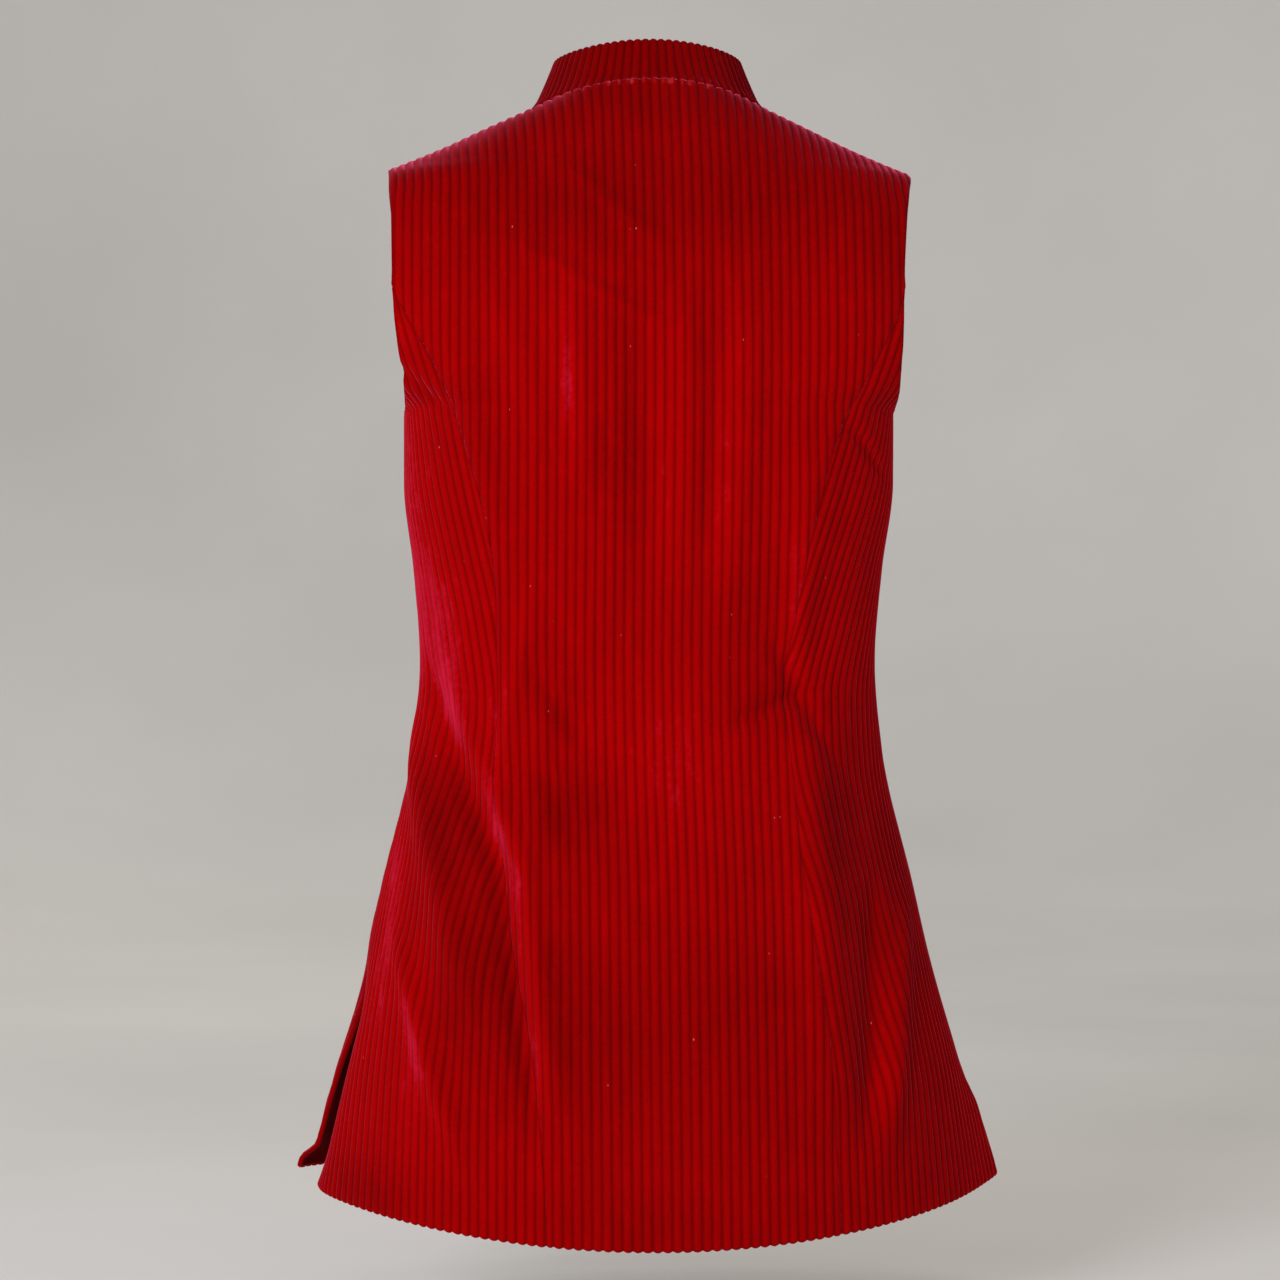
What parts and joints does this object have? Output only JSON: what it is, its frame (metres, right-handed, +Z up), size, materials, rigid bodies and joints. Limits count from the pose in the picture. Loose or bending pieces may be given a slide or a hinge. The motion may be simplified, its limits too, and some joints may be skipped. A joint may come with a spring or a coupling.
{
  "type": "corduroy vest",
  "caption": "Long sleeveless vest of jumbo corduroy with a stand collar, princess-seamed flared back, side slits and a buttoned front, filled out as if worn.",
  "frame": {"origin": "midway between the two neck points, where the collar meets the shoulders and the wearer's shoulders hold the vest up", "axes": "+Z up, -Y out of the back, +Y out of the buttoned front, +X to the wearer's right"},
  "size_m": [0.4744, 0.3387, 0.7866],
  "materials": {
    "corduroy": "napped jumbo corduroy",
    "button": "satin"
  },
  "bodies": {
    "root": {"back_centre": "corduroy", "back_side_left": "corduroy", "back_side_right": "corduroy", "front_left": "corduroy", "front_right": "corduroy", "collar": "corduroy", "button_1": "button", "button_2": "button", "button_3": "button", "button_4": "button", "button_5": "button", "button_6": "button", "button_7": "button"}
  },
  "joints": []
}
